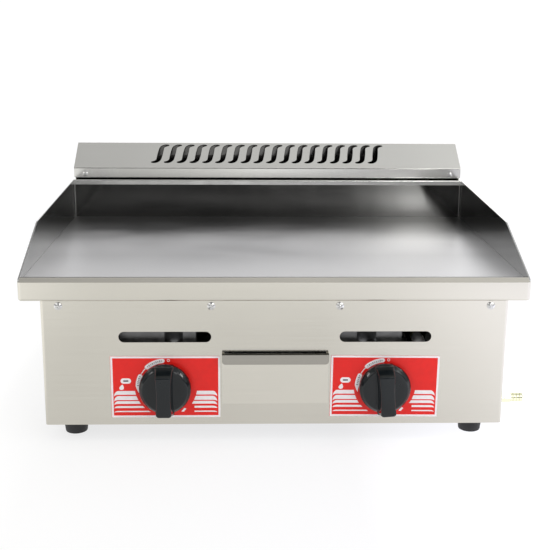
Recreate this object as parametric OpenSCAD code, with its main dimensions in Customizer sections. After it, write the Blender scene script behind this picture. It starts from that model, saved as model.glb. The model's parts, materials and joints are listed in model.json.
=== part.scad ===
// Flat top gas griddle: a steel plate in a folded stainless tray, on a sheet-metal
// body with two tube burners, two push-and-turn gas taps and a grease drawer.
// Millimetres. +Z up, the front faces -Y, and the origin lies on the table at the
// middle of the whole griddle. Inside the modules y is measured back from the
// face of the tray's apron, and at_face() moves it to the origin.

/* [Overall] */
// Width across the tray
top_w = 550; // [530:1:580]
// Depth from the apron's face to the back of the flue
top_d = 425; // [405:1:445]
// Height from the table to the top of the flue cover
total_h = 280; // [272:1:290]
// Height of the rubber feet
foot_h = 19.5; // [16:0.5:24]
// Thickness of the body's sheet
sheet = 1; // [0.8:0.1:1.2]

/* [Body] */
// Width across the body
body_w = 504.8; // [495:0.2:508]
// How far the front panel sits behind the apron's face
panel_back = 2; // [1.5:0.1:2.5]
// Height of the underside of the tray
body_top = 161; // [158:0.5:162]
// Bend radius of the body's upright corners
corner_r = 3.5; // [2:0.5:5]

/* [Tray] */
// Height of the cooking surface
plate_z = 181; // [180:0.5:183]
// Thickness of the cooking plate
plate_t = 8; // [6:1:10]
// Depth of the grease channel in front of the plate
gutter_d = 15.5; // [14:0.5:17]
// Height of the splash guards where they bend down
knee_z = 225; // [215:1:235]
// Distance from the apron to the guards' bend
knee_y = 116.5; // [100:1:130]
// Height of the guards at the back
guard_z = 233.5; // [228:0.5:236]

/* [Flue] */
// Number of S-shaped vents in the flue cover
vent_count = 18; // [8:1:18]
// Distance between vents
vent_pitch = 18.1; // [17:0.1:19]
// Width of a vent's stroke
vent_w = 7.6; // [5:0.1:8.5]

/* [Front openings] */
// Distance of each lighting slot from the middle
slot_x = 119.6; // [110:0.2:125]
// Height of the lighting slots
slot_z = 120.4; // [118:0.2:124]
// Length of a lighting slot
slot_l = 100; // [80:1:104]
// Height of a lighting slot's opening
slot_h = 12; // [10:0.5:14]

/* [Controls] */
// Distance of each knob from the middle
knob_x = 120; // [116:0.5:124]
// Height of the knobs
knob_z = 63.5; // [62:0.5:65]
// Radius of a knob
knob_r = 28.2; // [26:0.2:30]
// How far a knob stands in front of the apron's face
knob_reach = 31; // [29:0.5:33]
// How far a knob can be pressed in
press = 4; // [3:0.5:4]
// Width of a control label
label_w = 119; // [110:1:122]
// Height of a control label
label_h = 70.5; // [66:0.5:74]

/* [Drawer] */
// Width of the drawer's front
drawer_w = 116; // [112:1:116]
// Length of the drawer's tray
drawer_l = 240; // [180:5:250]
// Height of the drawer front's lower edge
drawer_z = 44; // [42:0.5:50]

/* [Gas] */
// Height of the gas pipe
pipe_z = 42.2; // [40:0.2:43]
// Radius of the gas pipe
pipe_r = 8; // [7:0.1:8]
// Radius over the hose barb's crests
barb_r = 5.25; // [5:0.05:5.5]
// Radius of a burner tube
burner_r = 12.5; // [11:0.5:13]

/* [Hidden] */
$fn = 64;

// Gaps: clear is between parts that move past each other, run a running fit.
clear = 0.3;
run = 0.05;

// Places measured back from the apron's face.
face_y = (knob_reach - top_d) / 2;
panel_y = panel_back + sheet;
return_d = 12;
flange_d = 14;
rear_y = top_d - 4;
back_y = top_d - 52.3;
plate_y = 11.3 + gutter_d;

// Half widths.
half_w = top_w / 2;
half_body = body_w / 2;
half_side = half_body - sheet;
guard_t = 1.5;
half_in = half_w - guard_t;

// Heights.
floor_z = foot_h + sheet;
side_top = plate_z - plate_t;

// Feet.
foot_x = half_body - 28.3;
foot_front = 34;
foot_rear = top_d - 46;
foot_top_r = 14.3;
foot_low_r = 12.2;

// Tray.
tray_t = 1.2;
apron_r = 4;
roll_r = 2.5;
apron_top = plate_z + 0.6;
bevel_d = 10;
bevel_h = 4;
skirt_y = 20;
gutter_z = body_top + 3;
spout_y = plate_y - 7.6;
spout_r = 8;

// Flue.
cover_t = 1.2;
cover_r = 2.4;
half_cover = half_w - 2;
duct_w = half_cover - cover_t - clear;
band_y = back_y + 3.3;
band_z = guard_z + 3.5;
bend_z = guard_z + 17;
slope_y = top_d - 2.4;
slope = atan2(total_h - bend_z, slope_y - band_y);
slope_l = (total_h - bend_z) / sin(slope);
vent_steps = 20;

// Screws.
m4_r = 1.95;
m5_r = 2.5;
tray_screw_z = body_top - 5.7;
tray_screw_x = [-232.8, -69.3, 69.3, 232.8];
flue_screw_x = half_cover - 15.7;

// Gas taps. The plug turns in the barrel, and the stem slides in the plug.
tap_y = 22;
stem_r = 4;
plug_r = 7;
plug_front = 6;
plug_back = 30;
socket_back = 20;
stem_back = 12;
label_t = 0.4;
knob_gap = press + 0.5;
knob_depth = knob_reach + panel_back - label_t - knob_gap;
knob_skew_right = 4;
label_skew_right = 0.5;
spring_r = 3.1;
wire_r = 0.4;

// Burners.
feed_r = 6.35;
feed_x = knob_x + 41.5;
feed_bend = 10;
burner_z = 106;
burner_gap = 76;
burner_front = 58;
burner_back = 310;
burner_end = 84;
shutter_y = 64;
shutter_l = 16;
baffle_y = 13;

// Drawer.
half_tray = 53;
tray_z = 60;
tray_h = 37;
lip_z = 102.3;
lip_h = 11;
lip_d = 7.2;

// ---- helpers ----

// Moves a shape from apron-face coordinates to the griddle's origin.
module at_face() translate([0, face_y, 0]) children();

// A block from its lowest to its highest corner.
module block(low, high) translate(low) cube(high - low);

// The mirror image across the middle for a left-hand part.
module side(s) if (s < 0) mirror([1, 0, 0]) children(); else children();

// A profile drawn in depth and height, drawn out across the griddle.
module across(w) rotate([90, 0, 90]) linear_extrude(w, center = true) children();

// A shaft along the depth, from y0 back to y1.
module rod_y(x, z, r, y0, y1) translate([x, y0, z]) rotate([-90, 0, 0]) cylinder(r = r, h = y1 - y0);

// A shaft across the griddle, from x0 to x1.
module rod_x(y, z, r, x0, x1) translate([x0, y, z]) rotate([0, 90, 0]) cylinder(r = r, h = x1 - x0);

// A slot with round ends, l long and h wide.
module stadium(l, h) {
    square([l - h, h], center = true);
    for (s = [-1, 1]) translate([s * (l - h) / 2, 0]) circle(h / 2);
}

// A plan of width w and depth d whose two front corners have radius r.
module soft_front(w, d, r) {
    translate([-w / 2 + r, 0]) square([w - 2 * r, d]);
    translate([-w / 2, r]) square([w, d - r]);
    for (s = [-1, 1]) translate([s * (w / 2 - r), r]) circle(r);
}

function unit(v) = v / norm(v);
function left_of(v) = [-v[1], v[0]];
function flip(p) = [for (i = [len(p) - 1:-1:0]) p[i]];

// The points of a bend of radius r at corner b, between points a and c.
function bend(a, b, c, r, n = 4) =
    let (u = unit(a - b), v = unit(c - b), half = acos(u * v) / 2,
         reach = r / tan(half), mid = b + unit(u + v) * r / sin(half),
         t0 = b + u * reach - mid, t1 = b + v * reach - mid,
         a0 = atan2(t0[1], t0[0]), a1 = atan2(t1[1], t1[0]),
         turn = (a1 - a0 > 180) ? a1 - a0 - 360 : (a1 - a0 < -180) ? a1 - a0 + 360 : a1 - a0)
    [for (i = [0:n]) mid + r * [cos(a0 + turn * i / n), sin(a0 + turn * i / n)]];

// A line with every inner corner bent to radius r.
function soften(p, r) = concat([p[0]],
    [for (i = [1:len(p) - 2]) each bend(p[i - 1], p[i], p[i + 1], r)], [p[len(p) - 1]]);

// The line t to the left of line p, mitred at its corners.
function beside(p, t) = [for (i = [0:len(p) - 1])
    let (n0 = left_of(unit(p[max(i, 1)] - p[max(i, 1) - 1])),
         n1 = left_of(unit(p[min(i + 1, len(p) - 1)] - p[min(i, len(p) - 2)])))
    p[i] + t * (n0 + n1) / (1 + n0 * n1)];

// The cross-section of a sheet t thick, folded along line p.
module folded(p, t, r = 0) {
    line = r > 0 ? soften(p, r) : p;
    polygon(concat(line, flip(beside(line, t))));
}

// A cross-recess pan-head screw, its head from z = 0 up and its shank down.
module pan_screw(head_r, head_h, shank_r, shank_l) {
    difference() {
        intersection() {
            cylinder(r = head_r, h = head_h);
            translate([0, 0, head_h - 1.5 * head_r]) sphere(1.5 * head_r);
        }
        for (a = [0, 90]) rotate(a + 25)
            translate([-0.6 * head_r, -0.15 * head_r, head_h / 2]) cube([1.2 * head_r, 0.3 * head_r, head_h]);
    }
    translate([0, 0, -shank_l]) cylinder(r = shank_r, h = shank_l);
}

// ---- body ----

module base_pan() color("silver") at_face() difference() {
    half_pan = half_side - sheet - 0.1;
    block([-half_pan, panel_y + 0.2, foot_h], [half_pan, rear_y - 0.2, floor_z]);
    for (x = [-foot_x, foot_x], y = [foot_front, foot_rear])
        translate([x, y, 0]) cylinder(r = m5_r + 0.25, h = 2 * foot_h);
    for (s = [-1, 1], i = [0:3], j = [0:7])
        translate([s * (knob_x - 33 + 22 * i), 120 + 24 * j, 0]) cylinder(r = 6, h = 2 * foot_h);
}

module front_panel() color("gainsboro") at_face() difference() {
    union() {
        translate([0, panel_back, foot_h]) linear_extrude(body_top - foot_h) difference() {
            soft_front(body_w, return_d, corner_r);
            translate([0, sheet]) soft_front(body_w - 2 * sheet, return_d, corner_r - sheet);
        }
        block([-half_side + 2, panel_y - 0.1, floor_z], [half_side - 2, panel_y + flange_d, floor_z + sheet]);
        block([-half_side + 2, panel_y - 0.1, body_top - sheet], [half_side - 2, panel_y + 7, body_top]);
    }
    for (s = [-1, 1]) {
        translate([s * slot_x, panel_y + 1, slot_z]) rotate([90, 0, 0])
            linear_extrude(5) stadium(slot_l, slot_h);
        rod_y(s * knob_x, knob_z, 7, 0, 5);
    }
    block([-half_tray - 2.5, 0, tray_z - 2.5], [half_tray + 2.5, 5, lip_z + 1.4]);
    for (x = tray_screw_x) rod_y(x, tray_screw_z, m4_r + run, 0, 5);
}

module side_sheet() color("gainsboro") {
    ends = corner_r - sheet + 0.1;
    inner = half_side - sheet;
    flange_x = half_side - flange_d;
    rear = rear_y - ends;
    block([inner, panel_y + ends, foot_h], [half_side, rear, body_top]);
    block([inner, plate_y + 2, body_top - 1], [half_side, rear, side_top]);
    block([flange_x, panel_y + flange_d + 1, floor_z], [inner + 0.1, rear_y - flange_d - 1, floor_z + sheet]);
    block([flange_x, plate_y + 2, side_top - sheet], [inner + 0.1, rear, side_top]);
}

// Upright air slots low in each side.
module side_slots() for (i = [0:9])
    translate([half_side - 3, 130 + 22 * i, 80]) rotate([90, 0, 90])
        linear_extrude(6) rotate(90) stadium(46, 8);

module side_panel_left() at_face() side(-1) difference() {
    side_sheet();
    side_slots();
}

module side_panel_right() at_face() difference() {
    side_sheet();
    side_slots();
    rod_x(tap_y, pipe_z, 7, half_side - 3, half_side + 3);
}

module rear_panel() color("gainsboro") at_face() difference() {
    union() {
        translate([0, rear_y + sheet, foot_h]) mirror([0, 1, 0])
            linear_extrude(side_top - foot_h - 12) difference() {
                soft_front(body_w, return_d + 2, corner_r);
                translate([0, sheet]) soft_front(body_w - 2 * sheet, return_d + 2, corner_r - sheet);
            }
        block([-half_side + 2, rear_y - flange_d, floor_z], [half_side - 2, rear_y + 0.1, floor_z + sheet]);
    }
    for (i = [-5:5], z = [60, 84, 108])
        translate([i * 42, rear_y + 3, z]) rotate([90, 0, 0]) linear_extrude(6) stadium(32, 6);
}

module front_rail() color("darkgray") at_face() difference() {
    rail_t = 1.5;
    rail_y = panel_y + rail_t;
    across(2 * half_side - 4)
        folded([[rail_y, body_top - sheet], [rail_y, body_top - 15], [rail_y + 7, body_top - 15]], -rail_t);
    for (x = tray_screw_x) rod_y(x, tray_screw_z, m4_r + run, 0, 2 * panel_y);
}

// A tapered rubber foot with a deep recess for its screw.
module foot(x, y) color("black") at_face() translate([x, y, 0]) difference() {
    union() {
        cylinder(r1 = foot_low_r - 1, r2 = foot_low_r, h = 1.5);
        translate([0, 0, 1.5]) cylinder(r1 = foot_low_r, r2 = foot_top_r, h = foot_h - 3);
        translate([0, 0, foot_h - 1.5]) cylinder(r = foot_top_r, h = 1.5);
    }
    translate([0, 0, -1]) cylinder(r = 6, h = 10);
    cylinder(r = m5_r + 0.25, h = 2 * foot_h);
}

module foot_front_left() foot(-foot_x, foot_front);
module foot_front_right() foot(foot_x, foot_front);
module foot_rear_left() foot(-foot_x, foot_rear);
module foot_rear_right() foot(foot_x, foot_rear);

module foot_screws() color("dimgray") at_face() for (x = [-foot_x, foot_x], y = [foot_front, foot_rear])
    translate([x, y, 0]) {
        translate([0, 0, 9]) mirror([0, 0, 1]) pan_screw(4.6, 3, m5_r, floor_z - 1);
        translate([0, 0, floor_z]) difference() {
            cylinder(r = 4.6, h = 4, $fn = 6);
            translate([0, 0, -1]) cylinder(r = m5_r + run, h = 6);
        }
    }

// ---- tray ----

module griddle_plate() color("dimgray") at_face()
    block([-half_in + 0.1, plate_y, side_top], [half_in - 0.1, back_y + guard_t, plate_z]);

// The cross-section of the apron's rolled lower edge.
module roll() intersection() {
    difference() {
        circle(roll_r);
        circle(roll_r - tray_t);
    }
    translate([0, -roll_r]) square(roll_r);
}

// The apron wraps both front corners. Its face, its rolled lower edge, its underside,
// the bevel along its top and the grease channel's front wall are one folded sheet.
module front_apron() color("whitesmoke") at_face() {
    low = body_top + roll_r;
    translate([0, 0, low]) linear_extrude(apron_top - low) difference() {
        soft_front(top_w, skirt_y, apron_r);
        translate([0, tray_t]) soft_front(top_w - 2 * tray_t, skirt_y, apron_r - tray_t);
    }
    translate([0, roll_r, low]) mirror([0, 1, 0]) across(top_w - 2 * apron_r) roll();
    for (s = [-1, 1]) side(s) {
        translate([half_w - apron_r, apron_r, low]) rotate(-90)
            rotate_extrude(angle = 90) translate([apron_r - roll_r, 0]) roll();
        translate([half_w - roll_r, skirt_y, low]) rotate([90, 0, 0])
            linear_extrude(skirt_y - apron_r) roll();
    }
    translate([0, roll_r, body_top]) linear_extrude(tray_t) difference() {
        soft_front(top_w - 2 * roll_r, skirt_y - roll_r, apron_r - roll_r);
        translate([-half_w + 14, 7]) square([top_w - 28, 2 * skirt_y]);
    }
    intersection() {
        across(2 * half_in) folded([[0, apron_top - 4], [0, apron_top], [bevel_d, apron_top + bevel_h],
                                    [bevel_d, gutter_z + 0.2]], -tray_t, 1.4);
        translate([0, 0, body_top]) linear_extrude(2 * total_h) soft_front(top_w, 2 * skirt_y, apron_r);
    }
}

// The floor of the grease channel in front of the plate, with a drain in the middle.
module grease_gutter() color("silver") at_face() difference() {
    across(2 * half_in - 0.2) folded([[bevel_d + 0.2, gutter_z + 2.5], [bevel_d + 0.2, gutter_z],
                                      [plate_y - 0.1, gutter_z]], sheet);
    translate([0, spout_y, body_top]) cylinder(r = spout_r - 2, h = 10);
}

// The strip welded along the plate's front edge, which is the channel's rear wall.
module gutter_strip() color("silver") at_face()
    block([-half_in + 0.1, plate_y - 1.6, gutter_z + sheet], [half_in - 0.1, plate_y - 0.1, plate_z - 0.5]);

module drain_spout() color("silver") at_face() translate([0, spout_y, gutter_z]) mirror([0, 0, 1])
    difference() {
        cylinder(r = spout_r - 1, h = gutter_z - tray_z - tray_h - 8);
        translate([0, 0, -1]) cylinder(r = spout_r - 2, h = body_top);
    }

// A side guard: a skirt below, and a splash wall above that slopes down to the apron.
module guard() color("silver") {
    wall = [[skirt_y + 0.1, body_top], [back_y + guard_t, body_top], [back_y + guard_t, guard_z],
            [knee_y, knee_z], [5, apron_top + 2], [5, apron_top + 0.1], [skirt_y + 0.1, apron_top + 0.1]];
    soft_knee = bend(wall[2], wall[3], wall[4], 14, 6);
    translate([half_w - guard_t / 2, 0, 0]) across(guard_t)
        polygon(concat([for (i = [0:2]) wall[i]], soft_knee, [for (i = [4:6]) wall[i]]));
    block([half_in - 8, skirt_y + 0.1, body_top], [half_in + 0.1, back_y + guard_t, body_top + guard_t]);
}

module splash_guard_left() at_face() side(-1) guard();
module splash_guard_right() at_face() guard();

// The back wall, with a rounded seam up each corner and its top folded forward and down.
module splash_back() color("gray") at_face() {
    back_t = 1.2;
    hook_y = back_y - 4.7;
    hook_lean = 0.3;
    seam_r = 2;
    across(2 * half_in - 0.2)
        folded([[back_y + back_t, plate_z], [back_y + back_t, guard_z + 0.7],
                [hook_y + hook_lean, guard_z + 0.7], [hook_y, guard_z - 5.8]], back_t, 1.4);
    for (s = [-1, 1]) side(s) translate([half_in - 0.1 - seam_r, back_y - seam_r, plate_z])
        linear_extrude(guard_z - 6 - plate_z) difference() {
            square([seam_r, seam_r + 0.4]);
            circle(seam_r);
        }
}

module tray_screws() color("silver") at_face() for (x = tray_screw_x)
    translate([x, panel_back, tray_screw_z]) rotate([90, 0, 0]) pan_screw(4.3, 2.2, m4_r, 9);

// ---- flue ----

module flue_duct() color("silver") at_face() difference() {
    duct_y = band_y + cover_t;
    union() {
        block([-duct_w, rear_y + sheet, side_top - 24], [duct_w, rear_y + sheet + tray_t, bend_z + 11]);
        for (s = [-1, 1]) side(s) {
            block([duct_w - tray_t, duct_y, body_top + 1], [duct_w, rear_y + sheet + 0.1, bend_z - 4]);
            block([half_body + 0.1, duct_y, body_top], [duct_w, rear_y + sheet + 0.1, body_top + tray_t]);
            block([duct_w - 24, duct_y, band_z + 0.5], [duct_w - 0.1, duct_y + cover_t, bend_z - 4]);
        }
    }
    for (x = [-flue_screw_x, flue_screw_x]) rod_y(x, band_z + 4.5, m4_r + run, band_y, band_y + 5);
    for (x = [-180, 180]) rod_y(x, bend_z + 4, m4_r + run, rear_y, top_d);
}

// One step of a vent's middle line: how steeply it runs at distance s along it.
// The line sets off level, curls up into the leaning stem and curls level again.
function vent_heading(s) =
    let (hook = 0.23, flat = 0.05, stem = 83)
    s < flat || s > 1 - flat ? 0 :
    s < flat + hook ? stem * (s - flat) / hook :
    s > 1 - flat - hook ? stem * (1 - flat - s) / hook : stem;

function heading_at(s) = [cos(vent_heading(s)), sin(vent_heading(s))];
function sum_to(v, n) = n == 0 ? [0, 0] : v[n - 1] + sum_to(v, n - 1);

// The outline of one S-shaped vent, centred on its own middle.
function vent_outline() =
    let (n = vent_steps, run_l = 51 / n,
         steps = [for (i = [0:n - 1]) run_l * heading_at((i + 0.5) / n)],
         line = [for (i = [0:n]) sum_to(steps, i)],
         mid = (line[0] + line[n]) / 2,
         sideways = [for (i = [0:n]) left_of(heading_at(i / n))],
         half = [for (i = [0:n]) vent_w / 2 * pow(max(sin(180 * i / n), 0.02), 0.34)])
    concat([for (i = [0:n]) line[i] - mid + sideways[i] * half[i]],
           [for (i = [n:-1:0]) line[i] - mid - sideways[i] * half[i]]);

// The line that the cover is folded along, from its front hem over the top and down.
cover_line = [[band_y, band_z], [band_y, bend_z], [slope_y - 1, total_h], [top_d, total_h],
              [top_d, bend_z - 8]];

module flue_cover() color("silver") at_face() difference() {
    across(2 * half_cover) folded(cover_line, -cover_t, cover_r);
    translate([0, band_y, bend_z]) rotate([slope, 0, 0]) for (i = [0:vent_count - 1])
        translate([(i - (vent_count - 1) / 2) * vent_pitch, 0.545 * slope_l, -5])
            linear_extrude(10) polygon(vent_outline());
    for (x = [-flue_screw_x, flue_screw_x]) rod_y(x, band_z + 4.5, m4_r + run, band_y - 1, band_y + 3);
    for (x = [-180, 180]) rod_y(x, bend_z + 4, m4_r + run, rear_y, top_d + 1);
}

module flue_cap() color("silver") {
    inner = beside(soften(cover_line, cover_r), -cover_t - 0.05);
    translate([half_cover - cover_t / 2, 0, 0]) across(cover_t) polygon(inner);
}

module flue_cap_left() at_face() side(-1) flue_cap();
module flue_cap_right() at_face() flue_cap();

module flue_screws() color("silver") at_face() {
    for (x = [-flue_screw_x, flue_screw_x])
        translate([x, band_y, band_z + 4.5]) rotate([90, 0, 0]) pan_screw(3.8, 2, m4_r, 8);
    for (x = [-180, 180])
        translate([x, top_d, bend_z + 4]) rotate([-90, 0, 0]) pan_screw(3.8, 2, m4_r, 8);
}

// ---- front trim ----

module label(turn) color("crimson") translate([0, panel_back, knob_z]) rotate([90, turn, 0])
    linear_extrude(label_t) difference() {
        translate([0, -0.1]) square([label_w, label_h], center = true);
        circle(7);
    }

module label_left() at_face() translate([-knob_x, 0, 0]) label(0);
module label_right() at_face() translate([knob_x, 0, 0]) label(label_skew_right);

// A shield behind the lighting slots, with windows given as [x0, x1, z0, z1].
module baffle(x0, x1, windows) color("gray") difference() {
    block([x0, baffle_y, 88], [x1, baffle_y + sheet, body_top - 16]);
    for (w = windows) block([w[0], baffle_y - 1, w[2]], [w[1], baffle_y + 2, w[3]]);
}

module heat_baffle_left() at_face()
    baffle(-half_side + 4, -64, [[-121, -101, 96, 126], [-86.5, -70, 96, 126]]);
module heat_baffle_right() at_face()
    baffle(64, half_side - 4, [[89.5, 111, 96, 126], [139, 172, 96, 126]]);

// ---- gas ----

module gas_manifold() color("darkgray") at_face() difference() {
    rod_x(tap_y, pipe_z, pipe_r, -knob_x - 22, half_side - 14);
    rod_x(tap_y, pipe_z, pipe_r - 2, -knob_x - 23, half_side - 13);
    for (s = [-1, 1]) translate([s * knob_x, tap_y, pipe_z]) cylinder(r = 2, h = 2 * pipe_r);
}

module manifold_cap() color("darkgray") at_face() {
    rod_x(tap_y, pipe_z, pipe_r + 1.5, -knob_x - 25, -knob_x - 22);
    rod_x(tap_y, pipe_z, pipe_r - 2.1, -knob_x - 22.5, -knob_x - 12);
}

module manifold_brackets() color("darkgray") at_face() for (x = [-88, 196]) difference() {
    union() {
        block([x, panel_y + flange_d + 0.2, floor_z], [x + 2, tap_y + 14, pipe_z + 12]);
        block([x, panel_y + flange_d + 0.2, floor_z], [x + 12, tap_y + 14, floor_z + sheet]);
    }
    rod_x(tap_y, pipe_z, pipe_r + run, x - 1, x + 3);
}

// The hose tail: a hexagon outside the body and a barb with three crests.
module hose_barb() color("gold") at_face() {
    hex_x = half_body + 0.6;
    barb_x = half_w - 9;
    tip_x = half_w + 4.5;
    difference() {
        union() {
            rod_x(tap_y, pipe_z, 5.5, half_side - 14, hex_x + 1);
            rod_x(tap_y, pipe_z, pipe_r + 1, half_side - 14, half_side - 6);
            translate([hex_x, tap_y, pipe_z]) rotate([0, 90, 0]) rotate(30)
                cylinder(r = 5.7, h = barb_x - hex_x, $fn = 6);
            rod_x(tap_y, pipe_z, barb_r - 0.5, barb_x - 2, barb_x + 1);
            rod_x(tap_y, pipe_z, barb_r, barb_x, tip_x - 1);
            translate([tip_x - 1, tap_y, pipe_z]) rotate([0, 90, 0])
                cylinder(r1 = barb_r, r2 = barb_r - 0.8, h = 1);
        }
        rod_x(tap_y, pipe_z, 3, half_side - 20, tip_x + 1);
        for (i = [0:2]) translate([barb_x + 1.2 + 3.6 * i, tap_y, pipe_z]) rotate([0, 90, 0]) difference() {
            cylinder(r = barb_r + 2, h = 1.6);
            translate([0, 0, -1]) cylinder(r = barb_r - 0.8, h = 4);
        }
    }
}

// A tap's body: the barrel for the plug, the inlet saddle below and the outlet at the side.
module valve_body() color("goldenrod") translate([knob_x, 0, 0]) difference() {
    union() {
        rod_y(0, knob_z, 11, panel_y + 1.2, plug_back + 4);
        translate([0, tap_y, pipe_z]) cylinder(r = 7, h = knob_z - pipe_z);
        block([-8, tap_y - pipe_r - 2, pipe_z], [8, tap_y + pipe_r + 2, pipe_z + pipe_r + 3]);
        rod_x(tap_y, knob_z, 7.5, 0, 15);
    }
    rod_y(0, knob_z, plug_r + run, plug_front - 0.2, plug_back + 0.2);
    rod_y(0, knob_z, stem_r + 0.6, 0, plug_front);
    rod_x(tap_y, pipe_z, pipe_r + run, -20, 20);
    translate([0, tap_y, pipe_z]) cylinder(r = 2, h = knob_z - pipe_z);
    rod_x(tap_y, knob_z, 2, 0, 20);
}

module valve_body_left() at_face() side(-1) valve_body();
module valve_body_right() at_face() valve_body();

// The cross-section of the feed tube.
module tube() difference() {
    circle(feed_r);
    circle(feed_r - 1.2);
}

// The aluminium tube from a tap's outlet, up and back to the jet.
module feed_tube() color("lightgray") {
    up_x = feed_x - feed_bend;
    difference() {
        rod_x(tap_y, knob_z, feed_r, knob_x + 15, up_x);
        rod_x(tap_y, knob_z, feed_r - 1.2, knob_x + 10, up_x + 1);
    }
    translate([up_x, tap_y, knob_z + feed_bend]) rotate([90, 0, 0]) rotate(-90)
        rotate_extrude(angle = 90) translate([feed_bend, 0]) tube();
    translate([feed_x, tap_y, knob_z + feed_bend]) linear_extrude(burner_z - knob_z - 2 * feed_bend) tube();
    translate([feed_x, tap_y + feed_bend, burner_z - feed_bend]) rotate([0, -90, 0]) rotate(-90)
        rotate_extrude(angle = 90) translate([feed_bend, 0]) tube();
    translate([feed_x, tap_y + feed_bend, burner_z]) rotate([-90, 0, 0]) linear_extrude(14) tube();
}

module feed_tube_left() at_face() side(-1) feed_tube();
module feed_tube_right() at_face() feed_tube();

module jet() color("gold")
    translate([feed_x, tap_y + feed_bend + 14, burner_z]) rotate([-90, 0, 0]) difference() {
        union() {
            cylinder(r = 8, h = 7, $fn = 6);
            cylinder(r = 4.5, h = 12);
            translate([0, 0, 12]) cylinder(r1 = 4.5, r2 = 2.5, h = 3);
        }
        translate([0, 0, -1]) cylinder(r = 0.6, h = 20);
    }

module jet_left() at_face() side(-1) jet();
module jet_right() at_face() jet();

// The cross-section of a burner tube.
module burner_ring() difference() {
    circle(burner_r);
    circle(burner_r - 1.5);
}

// A burner: a tube that runs back, turns round and comes forward again to a closed end,
// with air windows near its mouth and flame ports along the top.
module burner() color("slategray") {
    turn_r = burner_gap / 2;
    back_x = feed_x - burner_gap;
    difference() {
        union() {
            for (leg = [[feed_x, burner_front], [back_x, burner_end]])
                translate([leg[0], leg[1], burner_z]) rotate([-90, 0, 0])
                    linear_extrude(burner_back - leg[1]) burner_ring();
            translate([feed_x - turn_r, burner_back, burner_z]) rotate_extrude(angle = 180)
                translate([turn_r, 0]) burner_ring();
            rod_y(back_x, burner_z, burner_r, burner_end - 1.5, burner_end);
        }
        for (x = [feed_x, back_x], i = [0:14])
            translate([x, 106 + 14 * i, burner_z]) cylinder(r = 1.6, h = 2 * burner_r);
        for (a = [0, 180]) translate([feed_x, shutter_y + shutter_l / 2, burner_z]) rotate([0, a + 90, 0])
            cylinder(r = 5, h = 2 * burner_r);
    }
}

module burner_left() at_face() side(-1) burner();
module burner_right() at_face() burner();

// Two cradles on the base hold each burner.
module burner_brackets() color("darkgray") {
    low_x = feed_x - burner_gap - burner_r - 7;
    high_x = feed_x + burner_r + 7;
    for (y = [97, 293]) difference() {
        union() {
            block([low_x, y, floor_z], [high_x, y + 1.5, burner_z]);
            block([low_x, y, floor_z], [high_x, y + 12, floor_z + 1.5]);
        }
        for (x = [feed_x, feed_x - burner_gap]) rod_y(x, burner_z, burner_r + run, y - 1, y + 3);
        block([low_x + 34, y - 1, floor_z + 14], [high_x - 34, y + 3, burner_z + 1]);
    }
}

module burner_brackets_left() at_face() side(-1) burner_brackets();
module burner_brackets_right() at_face() burner_brackets();

// A collar that turns on the burner's mouth and covers its air windows.
module air_shutter() color("silver") difference() {
    union() {
        rod_y(feed_x, burner_z, burner_r + 1.3, shutter_y, shutter_y + shutter_l);
        translate([feed_x, shutter_y + shutter_l / 2, burner_z - burner_r - 5]) cylinder(r = 2.2, h = 5);
    }
    rod_y(feed_x, burner_z, burner_r + run, shutter_y - 1, shutter_y + shutter_l + 1);
    for (a = [0, 180]) translate([feed_x, shutter_y + shutter_l / 2, burner_z]) rotate([0, a + 90, 0])
        cylinder(r = 5, h = 2 * burner_r);
}

module air_shutter_left() at_face() side(-1) air_shutter();
module air_shutter_right() at_face() air_shutter();

// ---- taps and knobs ----

// The turning plug: a flat in its socket drives it from the stem.
module valve_plug() color("goldenrod") translate([knob_x, 0, 0]) difference() {
    rod_y(0, knob_z, plug_r, plug_front, plug_back);
    rod_y(0, knob_z, stem_r + run, plug_front - 1, socket_back);
    rod_x(plug_back - 6, knob_z, 1.8, -10, 10);
}

module valve_plug_left() at_face() side(-1) valve_plug();
module valve_plug_right() at_face() valve_plug();

// The spring behind the stem, a coil swept from rings of points.
module return_spring() color("silver") {
    sides = 8;
    turns = 4;
    rings = 48;
    coil_l = socket_back - stem_back - 2 * wire_r - 0.2;
    ring = [for (i = [0:rings]) let (a = 360 * turns * i / rings) for (k = [0:sides - 1])
        let (b = 360 * k / sides, r = spring_r + wire_r * cos(b))
        [r * cos(a), r * sin(a), coil_l * i / rings + wire_r * sin(b)]];
    faces = concat(
        [[for (k = [0:sides - 1]) k]],
        [for (i = [0:rings - 1], k = [0:sides - 1]) let (n = (k + 1) % sides)
            [i * sides + k, (i + 1) * sides + k, (i + 1) * sides + n, i * sides + n]],
        [[for (k = [sides - 1:-1:0]) rings * sides + k]]);
    translate([knob_x, stem_back + wire_r + 0.1, knob_z]) rotate([-90, 0, 0]) polyhedron(ring, faces);
}

module return_spring_left() at_face() side(-1) return_spring();
module return_spring_right() at_face() return_spring();

module knob_stem() color("silver") rod_y(knob_x, knob_z, stem_r, -knob_reach + 10, stem_back);

module knob_stem_left() at_face() side(-1) knob_stem();
module knob_stem_right() at_face() knob_stem();

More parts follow.
